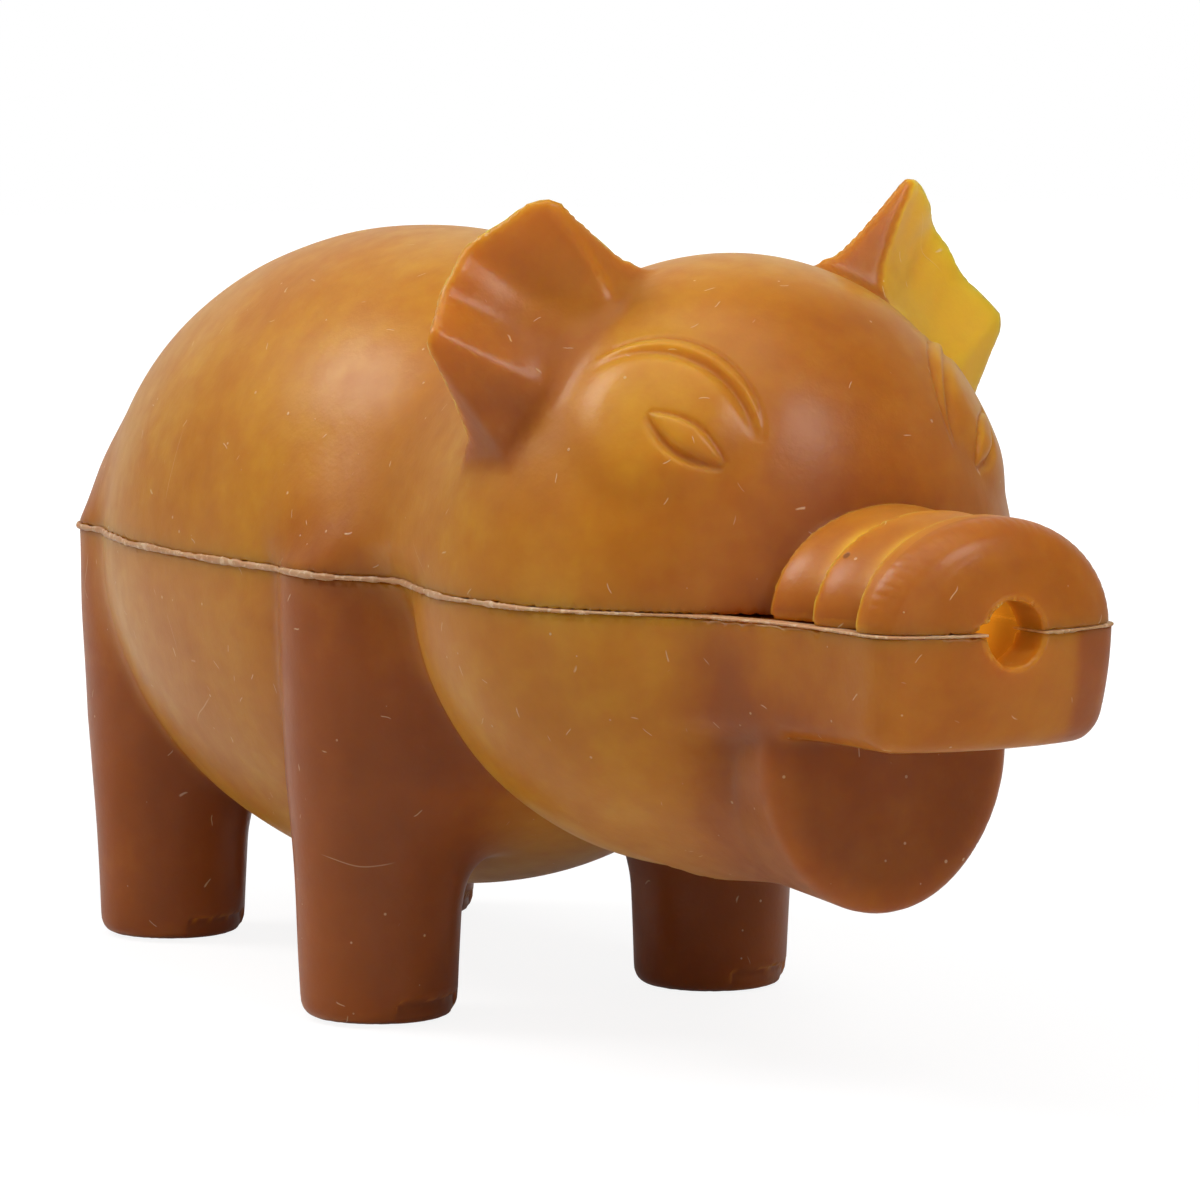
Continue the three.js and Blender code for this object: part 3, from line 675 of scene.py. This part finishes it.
def solidGrid():
    low, high = np.array(around["low"], float), np.array(around["high"], float)
    counts = np.ceil((high - low) / around["step"]).astype(int)
    spots = gridSpots(*[np.arange(c) for c in counts])
    share = np.zeros(len(spots))
    batch = 200000
    for start in range(0, len(spots), batch):
        p = low + spots[start:start + batch] * around["step"]
        p[:, 2] = np.maximum(p[:, 2], around["feet"])  # the feet look as deep as the legs above them
        field = np.where(p[:, 2] > parting["height"], upperField(p), lowerField(p))
        solid = np.clip(0.5 - field / around["step"], 0, 1)
        hollow = np.clip(0.5 - skinField(p, -wall) / around["step"], 0, 1)
        share[start:start + batch] = solid * (1 - hollow)
    share = share.reshape(counts)
    for axis in range(3):
        wave = np.fft.fftfreq(counts[axis], around["step"])
        shape = [1, 1, 1]
        shape[axis] = -1
        blur = np.exp(-2 * (math.pi * wave * around["blur"]) ** 2).reshape(shape)
        share = np.fft.ifft(np.fft.fft(share, axis=axis) * blur, axis=axis).real
    return share


rubberShare = solidGrid()
print("rubber measured")


def measuredShare(points, slope):
    # the grid's value a little below the surface, blended from the eight spots round it
    place = (points - slope * around["inward"] - around["low"]) / around["step"]
    cell = np.clip(np.floor(place).astype(int), 0, np.array(rubberShare.shape) - 2)
    part = place - cell
    total = np.zeros(len(points))
    for i in (0, 1):
        for j in (0, 1):
            for k in (0, 1):
                weight = np.prod(np.abs(1 - np.array((i, j, k)) - part), axis=1)
                total += weight * rubberShare[cell[:, 0] + i, cell[:, 1] + j, cell[:, 2] + k]
    return total


def rubberAround(surface, points):
    slope = slopeOf(surface, points)
    slope /= np.linalg.norm(slope, axis=1)[:, None] + 1e-9
    x, y, z = points.T
    above = z - parting["height"]
    upper, lower = above > 0, above < 0
    # less where the surface faces up or down: painted light from above and from the floor
    total = measuredShare(points, slope) - around["level"] * slope[:, 2] ** 2

    def pull(share, cover):
        return total + (share - total) * cover

    # thinner rubber in the creases of the rolls, with a painted glow of light through them that is
    # strongest part way up each crease
    look = around["rollCrease"]
    away = np.hypot(y * snout["rollHeight"] / snout["halfWidth"], above)
    crease = (1 - rise(away, snout["creaseHeight"], look["fade"])) * (x > headFront)
    crease = crease * upper * (x < look["end"]) * (away > look["away"])
    turn = np.arctan2(above, np.abs(y))
    total -= look["less"] * crease * (look["even"] + bell(turn - look["turn"], look["spread"]))
    # lighter on the mounds round the eyes: painted light
    look = around["mound"]
    offEye = np.linalg.norm(fromEye(points) - look["along"] * eyeRight - look["across"] * eyeUp, axis=1)
    total -= look["less"] * bell(offEye, look["spread"])

    # the ears let light through, most of all the left one's front
    look = around["ears"]
    leftEar, rightEar = (np.clip(look["cover"] - oneEar(points) / look["fade"], 0, 1) for oneEar in ears)
    root, out = ears[0].flanks[0]
    front = ease(0, 1, slope[:, 0] * 3 - 0.4) * rise((root - points) @ out, 0, 0.5)
    total = pull(look["back"] + (look["front"] - look["back"]) * front, leftEar)
    # the right ear darker low down, towards its folded corner: painted shade
    low = rise(-z, -look["lowUnder"], look["lowOver"])
    total = pull(look["back"] + look["low"] * low, rightEar)

    # the jaw flap, the snout's block and the front of the snout
    look = around["jaw"]
    total = pull(look["share"], np.clip(1 - jawField(points) / look["fade"], 0, 1) * (x > look["start"]))
    look = around["block"]
    cover = np.clip(1 - blockField(points), 0, 1) * rise(x, look["start"], look["over"])
    total = pull(look["share"], cover * (above < 1))
    look = around["nose"]
    cover = np.clip(look["cover"] - domeField(points), 0, 1) * (x > look["start"])
    total = pull(look["share"], cover * upper)

    # painted shade in the neck's crease, at the left end of the snout's block and in the corner over the
    # mouth
    look = around["neckCreaseShade"]
    low = rise(-z, -look["under"], look["over"])
    total += look["more"] * bell(eggField(points, body) - eggField(points, head), look["spread"]) * low
    look = around["corner"]
    total += look["more"] * rise(y, look["side"], look["over"]) * (x > look["start"]) * lower
    look = around["mouthShade"]
    mouthShade = bell(x - look["x"], look["length"]) * bell(z - look["z"], look["height"])
    total += look["more"] * mouthShade * (y < look["side"])

    # painted shade on the forehead between the eyes, and a little on the rump
    look = around["foreheadShade"]
    ahead = rise(x, look["start"], look["over"]) * np.clip(1 - skinField(points), 0, 1)
    total += look["more"] * ahead * upper * (1 - bell(offEye, look["eyeSpread"]))
    look = around["rump"]
    total += look["more"] * rise(-x, -look["start"], look["over"]) * upper
    return np.clip(total, 0, 1).astype(np.float32)


# light that comes through the rubber into the hole, strongest deep inside and along the top
holeLight = {"fade": 0.4, "length": 30, "start": 3, "over": 4, "backStart": 12, "backOver": 5,
             "least": 0.08, "deep": 0.3, "back": 0.5, "top": 0.15, "topOver": 2, "most": 1.2}


def holeGlow(points):
    inward = snout["front"] - points[:, 0]
    inside = np.clip(1 - boreField(points) / holeLight["fade"], 0, 1) * (inward < holeLight["length"])
    deep = rise(inward, holeLight["start"], holeLight["over"])
    back = rise(inward, holeLight["backStart"], holeLight["backOver"])
    top = np.tanh((points[:, 2] - parting["height"]) / holeLight["topOver"])
    glow = holeLight["least"] + deep * (holeLight["deep"] + holeLight["back"] * back)
    glow += holeLight["top"] * deep * top
    return (inside * np.clip(glow, 0, holeLight["most"])).astype(np.float32)


class Field:
    # wraps a shader socket so that shader maths can be written as plain sums
    def __init__(self, socket):
        self.socket = socket

    def maths(self, operation, *values, clamp=False):
        tree = self.socket.id_data
        node = tree.nodes.new("ShaderNodeMath")
        node.operation = operation
        node.use_clamp = clamp
        for slot, value in zip(node.inputs, values):
            if isinstance(value, Field):
                tree.links.new(value.socket, slot)
            else:
                slot.default_value = value
        return Field(node.outputs[0])

    def __add__(self, other):
        return self.maths("ADD", self, other)

    def __radd__(self, other):
        return self.maths("ADD", other, self)

    def __sub__(self, other):
        return self.maths("SUBTRACT", self, other)

    def __rsub__(self, other):
        return self.maths("SUBTRACT", other, self)

    def __mul__(self, other):
        return self.maths("MULTIPLY", self, other)

    def __rmul__(self, other):
        return self.maths("MULTIPLY", other, self)

    def above(self, edge, width):
        # 0 below the edge and 1 above it, over a soft width
        return self.maths("MULTIPLY_ADD", self - edge, 1 / width, 0.5, clamp=True)

    def below(self, edge, width):
        return self.maths("MULTIPLY_ADD", edge - self, 1 / width, 0.5, clamp=True)


class Shader:
    # the nodes of a material or of the world
    def __init__(self, owner):
        owner.use_nodes = True
        self.owner = owner
        self.tree = owner.node_tree

    def put(self, slot, value):
        if isinstance(value, Field):
            self.tree.links.new(value.socket, slot)
        elif isinstance(value, tuple) and len(slot.default_value) == 4:
            slot.default_value = (*value, 1)
        else:
            slot.default_value = value

    def fill(self, node, sockets):
        for key, value in sockets.items():
            self.put(node.inputs[key], value)

    def node(self, kind, settings, sockets, output=0):
        # any node: its type, its settings, then the values or links of its sockets
        node = self.tree.nodes.new("ShaderNode" + kind)
        for key, value in settings.items():
            if key == "stops":
                elements = node.color_ramp.elements
                while len(elements) < len(value):
                    elements.new(0.5)
                for element, (position, color) in zip(elements, value):
                    element.position = position
                    element.color = (*color, 1)
            else:
                setattr(node, key, value)
        self.fill(node, sockets)
        return Field(node.outputs[output])

    def surface(self, sockets):
        self.fill(self.tree.nodes["Principled BSDF"], sockets)

    def place(self):
        return self.node("TexCoord", {}, {}, "Object")

    def attribute(self, name):
        return self.node("Attribute", {"attribute_name": name}, {}, "Fac")

    def mix(self, factor, first, second):
        return self.node("Mix", {"data_type": "RGBA"}, {0: factor, 6: first, 7: second}, 2)

    def vector(self, operation, *values, output=0):
        keys = (0, "Scale") if operation == "SCALE" else range(3)
        return self.node("VectorMath", {"operation": operation}, dict(zip(keys, values)), output)

    def noise(self, place, size, detail=2.0, output=0):
        # noise whose blobs measure about size, in millimetres
        return self.node("TexNoise", {}, {"Vector": place, "Scale": 1000 / size, "Detail": detail}, output)

    def cells(self, place, size):
        # the outputs of a pattern of cells that measure about size, in millimetres
        return self.node("TexVoronoi", {}, {"Vector": place, "Scale": 1000 / size}).socket.node.outputs

    def relief(self, height, glow):
        # bumps in the surface and the light of the hole, alike for all the rubber
        bump = {"Strength": 0.8, "Distance": 0.001, "Height": height}
        self.surface({"Normal": self.node("Bump", {}, bump), "Emission Strength": 1.0,
                      "Emission Color": self.mix(self.attribute("holeGlow"), (0.0, 0.0, 0.0), glow)})


def strokes(shader, place, look):
    # one short stroke in some cells, where a random plane through the cell's middle cuts the surface
    bend = shader.vector("SCALE", shader.noise(place, look["cell"] * 0.5, 0, output=1), look["bend"] * mm)
    bent = shader.vector("ADD", shader.vector("ADD", place, bend), look["shift"])
    cells = shader.cells(bent, look["cell"])
    color = Field(cells["Color"])
    offset = shader.vector("SUBTRACT", bent, Field(cells["Position"]))
    tilt = shader.vector("NORMALIZE", shader.vector("SUBTRACT", color, (0.5, 0.5, 0.5)))
    across = shader.vector("DOT_PRODUCT", offset, tilt, output=1)
    across = across.maths("ABSOLUTE", across)
    reach = shader.vector("LENGTH", offset, output=1)
    chosen = shader.node("SeparateColor", {}, {"Color": color}).below(look["share"], 0.01)
    width, half = look["width"] * mm, look["half"] * mm
    return across.below(width, width) * reach.below(half, half * 0.4) * chosen


def specks(shader, place, look):
    cells = shader.cells(shader.vector("ADD", place, look["shift"]), look["cell"])
    parts = shader.node("SeparateColor", {}, {"Color": Field(cells["Color"])}).socket.node.outputs
    chosen = Field(parts[0]).below(look["share"], 0.01)
    size = look["size"] / look["cell"]
    return (Field(parts[1]) * size - Field(cells["Distance"])).above(0, size * 0.35) * chosen


# marks on the rubber: how much each hides the colour below it and how far it stands out
marks = {
    "lint": {"cell": 3.2, "half": 0.5, "width": 0.045, "bend": 0.8, "share": 0.45,
             "shift": (0.013, 0.0, 0.007), "hide": 0.6, "stand": 0.03},
    "scratch": {"cell": 16, "half": 3.2, "width": 0.04, "bend": 2.5, "share": 0.3,
                "shift": (0.0, 0.021, 0.0), "hide": 0.35, "stand": -0.02},
    "crumbs": {"cell": 2.2, "size": 0.17, "share": 0.5, "shift": (0.005, 0.003, 0.0),
               "hide": 0.55, "stand": 0.06},
    "dark": {"cell": 17, "size": 0.55, "share": 0.55, "shift": (0.0, 0.004, 0.009),
             "hide": 0.7, "stand": -0.03},
    "pale": (0.82, 0.60, 0.38), "darkColor": (0.13, 0.045, 0.012),
}
rubber = {
    "stops": [(0.12, (0.76, 0.44, 0.028)), (0.26, (0.64, 0.295, 0.022)), (0.36, (0.55, 0.205, 0.015)),
              (0.47, (0.46, 0.142, 0.010)), (0.60, (0.35, 0.088, 0.009)), (0.72, (0.29, 0.072, 0.010))],
    "cloud": 0.14, "cloudSize": 20, "fineCloud": 0.08, "fineCloudSize": 3.0, "fineStand": 0.06,
    "bloom": (0.62, 0.36, 0.22), "bloomShare": 0.05, "bloomSize": 9, "bloomFrom": 0.52, "bloomFade": 0.3,
    "bloomStretch": (1, 1, 0.35), "grainSize": 0.45, "grainStand": 0.02,
    "roughness": 0.34, "cloudRoughness": 0.16, "fineRoughness": 0.1, "glow": (0.52, 0.23, 0.012),
    "even": {"IOR": 1.5, "Specular IOR Level": 0.2, "Subsurface Weight": 1.0,
             "Subsurface Scale": 0.005, "Subsurface Radius": (1.0, 0.85, 0.25)},
}


def amberRubber(name):
    shader = Shader(bpy.data.materials.new(name))
    place = shader.place()
    cloud = shader.noise(place, rubber["cloudSize"], 2)
    fine = shader.noise(place, rubber["fineCloudSize"], 3)
    # the colour follows the share of rubber, together with the painted light and shade that the same
    # attribute carries
    depth = shader.attribute("rubberAround") + (cloud - 0.5) * (2 * rubber["cloud"])
    depth = depth + (fine - 0.5) * (2 * rubber["fineCloud"])
    color = shader.node("ValToRGB", {"stops": rubber["stops"]}, {0: depth})
    bloom = shader.noise(shader.vector("MULTIPLY", place, rubber["bloomStretch"]), rubber["bloomSize"], 4)
    bloom = bloom.above(rubber["bloomFrom"], rubber["bloomFade"])
    color = shader.mix(bloom * rubber["bloomShare"], color, rubber["bloom"])
    height = shader.noise(place, rubber["grainSize"], 3) * rubber["grainStand"] + fine * rubber["fineStand"]
    hide = {}
    for kind, pattern in (("lint", strokes), ("scratch", strokes), ("crumbs", specks), ("dark", specks)):
        mark = pattern(shader, place, marks[kind])
        hide[kind] = mark * marks[kind]["hide"]
        height = height + mark * marks[kind]["stand"]
    color = shader.mix(hide["lint"] + hide["scratch"] + hide["crumbs"], color, marks["pale"])
    color = shader.mix(hide["dark"], color, marks["darkColor"])
    rough = rubber["roughness"] + (cloud - 0.5) * rubber["cloudRoughness"]
    shader.surface({"Base Color": color, "Roughness": rough + (fine - 0.5) * rubber["fineRoughness"]})
    shader.surface(rubber["even"])
    shader.relief(height, rubber["glow"])
    return shader.owner


above, below = parting["height"] + parting["gap"], parting["height"] - parting["gap"]
makeHalf("upperShell", upperHalf, upperField, (-86, -36, above - 2), (86, 36, 90),
         amberRubber("amberRubber"), "upper_half")
makeHalf("lowerShell", lowerHalf, lowerField, (-86, -33, -2), (86, 33, below + 2),
         amberRubber("darkAmberRubber"), "lower_half")

# bond line: the rubber squeezed out between the halves and trimmed, standing a little proud
bond = {
    "stand": 0.34, "frontStand": 0.16, "half": 0.34, "frontHalf": 0.17, "frontFrom": 20, "frontOver": 45,
    "ragged": 0.1, "inside": 1.4, "web": 0.13, "wave": 0.1, "edge": 0.35, "step": 0.17, "quickStep": 0.5,
    "colors": [(0.46, 0.19, 0.06), (0.78, 0.54, 0.34)], "patchSize": 5, "dotSize": 0.7,
    "grainSize": 0.5, "grainStand": 0.08,
    "even": {"Roughness": 0.5, "Subsurface Weight": 0.25, "Subsurface Scale": 0.002,
             "Subsurface Radius": (1.0, 0.4, 0.15)},
}


def bondField(p):
    # a thin web between the halves with a bead outside, finer along the snout
    flat = np.stack([p[:, 0], p[:, 1], np.full(len(p), parting["height"])], axis=1)
    out = np.minimum(upperField(flat), lowerField(flat))
    front = rise(p[:, 0], bond["frontFrom"], bond["frontOver"])
    stand = bond["stand"] + (bond["frontStand"] - bond["stand"]) * front
    stand = stand + bond["ragged"] * (wander(flat, 5, 11) * 0.6 + wander(flat, 1.6, 12) * 0.5)
    half = bond["half"] + (bond["frontHalf"] - bond["half"]) * front
    half = half * (1 + 0.22 * wander(flat, 2.2, 14) + 0.15 * wander(flat, 12, 15))
    drift = bond["wave"] * wander(flat, 9, 13)
    level = overLine(p)
    bead = common(out - stand, np.abs(level - drift) - half, bond["edge"])
    bead = np.maximum(bead, 0.02 - out)
    web = np.maximum(np.abs(level) - bond["web"], out - stand * 0.7)
    return np.maximum(np.minimum(bead, web), -out - bond["inside"])


def bondRubber():
    shader = Shader(bpy.data.materials.new("paleRubberFlash"))
    place = shader.place()
    patches = shader.noise(place, bond["patchSize"], 4).above(0.5, 0.5)
    dots = shader.noise(place, bond["dotSize"], 2).above(0.6, 0.12)
    shader.surface({"Base Color": shader.mix(patches * 0.5 + dots * 0.5, *bond["colors"])})
    shader.surface(bond["even"])
    shader.relief(shader.noise(place, bond["grainSize"], 3) * bond["grainStand"], rubber["glow"])
    return shader.owner


step = bond["step"]
bottom, top = parting["height"] - 1.2, parting["height"] + 1.2
points, faces = netMesh(bondField, (-85, -33, bottom), (85, 33, top), step, block=6)
points = settle(bondField, points, rounds=2, most=0.1)
addPiece("bondLine", meshFrom("bondLine", points * mm, faces), points,
         bondRubber(), "bond_line_flash")

camera = {"azimuth": 60.06, "elevation": 5.55, "distance": 540.8, "lens": 160.2, "sensor": 36,
          "target": (4.95, 0, 40), "right": 1.056, "up": 2.04}
azimuth, elevation = math.radians(camera["azimuth"]), math.radians(camera["elevation"])
toCamera = Vector((math.sin(azimuth) * math.cos(elevation), -math.cos(azimuth) * math.cos(elevation),
                   math.sin(elevation)))
rightward = Vector((math.cos(azimuth), math.sin(azimuth), 0))
upward = toCamera.cross(rightward)
target = Vector(camera["target"]) + rightward * camera["right"] + upward * camera["up"]
cameraData = bpy.data.cameras.new("camera")
cameraData.lens = camera["lens"]
cameraData.sensor_width = camera["sensor"]
cameraData.clip_start = 0.05
cameraData.clip_end = 20
cameraObject = addObject("camera", cameraData)
turned = Matrix((rightward, upward, toCamera)).transposed().to_4x4()
cameraObject.matrix_world = Matrix.Translation((target + toCamera * camera["distance"]) * mm) @ turned
bpy.context.scene.camera = cameraObject

# soft panels, placed by how far they stand to the right of, above and towards the camera
lamps = {
    "topPanel": {"side": -0.2, "up": 1.0, "near": 0.15, "distance": 0.8, "size": 0.7, "power": 2.1},
    "leftPanel": {"side": -0.74, "up": 0.70, "near": -0.15, "distance": 0.8, "size": 0.34, "power": 2.9},
    "bridgePanel": {"side": 0.42, "up": 0.66, "near": 0.62, "distance": 0.8, "size": 0.3, "power": 2.8},
    "frontPanel": {"side": 0.1, "up": -0.05, "near": 1.0, "distance": 0.9, "size": 0.9, "power": 1.0},
    "backPanel": {"side": 0.0, "up": 0.25, "near": -1.0, "distance": 0.9, "size": 1.4, "power": 1.7},
}
for name, lamp in lamps.items():
    data = bpy.data.lights.new(name, "AREA")
    data.shape = "DISK"
    data.size = lamp["size"]
    data.energy = lamp["power"]
    direction = rightward * lamp["side"] + Vector((0, 0, 1)) * lamp["up"] + toCamera * lamp["near"]
    direction.normalize()
    panel = addObject(name, data)
    panel.location = target * mm + direction * lamp["distance"]
    panel.rotation_euler = direction.to_track_quat("Z", "Y").to_euler()
print("camera and lamps placed")

studio = {"world": 0.11, "backdrop": 1.0, "inReflections": 0.15, "floor": 0.7, "floorRoughness": 0.9,
          "floorGlow": 1.2, "floorWhite": 0.74, "whiteFrom": 0.2, "whiteOver": 0.2, "floorDrop": 0.0002}


def whiteRays(shader):
    # white to the camera and through clear material, dimmer in reflections, and lighting nothing
    rays = shader.node("LightPath", {}, {}).socket.node.outputs
    reflected = Field(rays["Is Glossy Ray"]) * studio["inReflections"]
    return Field(rays["Is Camera Ray"]) + reflected + Field(rays["Is Transmission Ray"])


world = bpy.data.worlds.new("studio")
bpy.context.scene.world = world
sky = Shader(world)
dim = sky.tree.nodes["Background"]
sky.fill(dim, {"Color": (1.0, 1.0, 1.0), "Strength": studio["world"]})
white = sky.node("Background", {}, {"Color": (1.0, 1.0, 1.0), "Strength": studio["backdrop"]})
both = sky.node("MixShader", {}, {0: whiteRays(sky), 1: Field(dim.outputs[0]), 2: white})
sky.fill(sky.tree.nodes["World Output"], {"Surface": both})

floorMesh = bpy.data.meshes.new("floor")
floorMesh.from_pydata([(-3, -3, 0), (3, -3, 0), (3, 3, 0), (-3, 3, 0)], [], [(0, 1, 2, 3)])
paper = Shader(bpy.data.materials.new("paleFloor"))
paper.surface({"Base Color": (studio["floor"],) * 3, "Roughness": studio["floorRoughness"]})
glow = paper.node("Emission", {}, {"Color": (1.0, 1.0, 1.0), "Strength": studio["floorGlow"]})
far = paper.vector("LENGTH", paper.place(), output=1).above(studio["whiteFrom"], studio["whiteOver"])
share = whiteRays(paper) * (far * (1 - studio["floorWhite"]) + studio["floorWhite"])
plain = Field(paper.tree.nodes["Principled BSDF"].outputs[0])
both = paper.node("MixShader", {}, {0: share, 1: plain, 2: glow})
paper.fill(paper.tree.nodes["Material Output"], {"Surface": both})
floorMesh.materials.append(paper.owner)
floor = addObject("floor", floorMesh)
floor.location.z = -studio["floorDrop"]
print("backdrop and floor placed")

bpy.context.scene.view_settings.view_transform = "Standard"
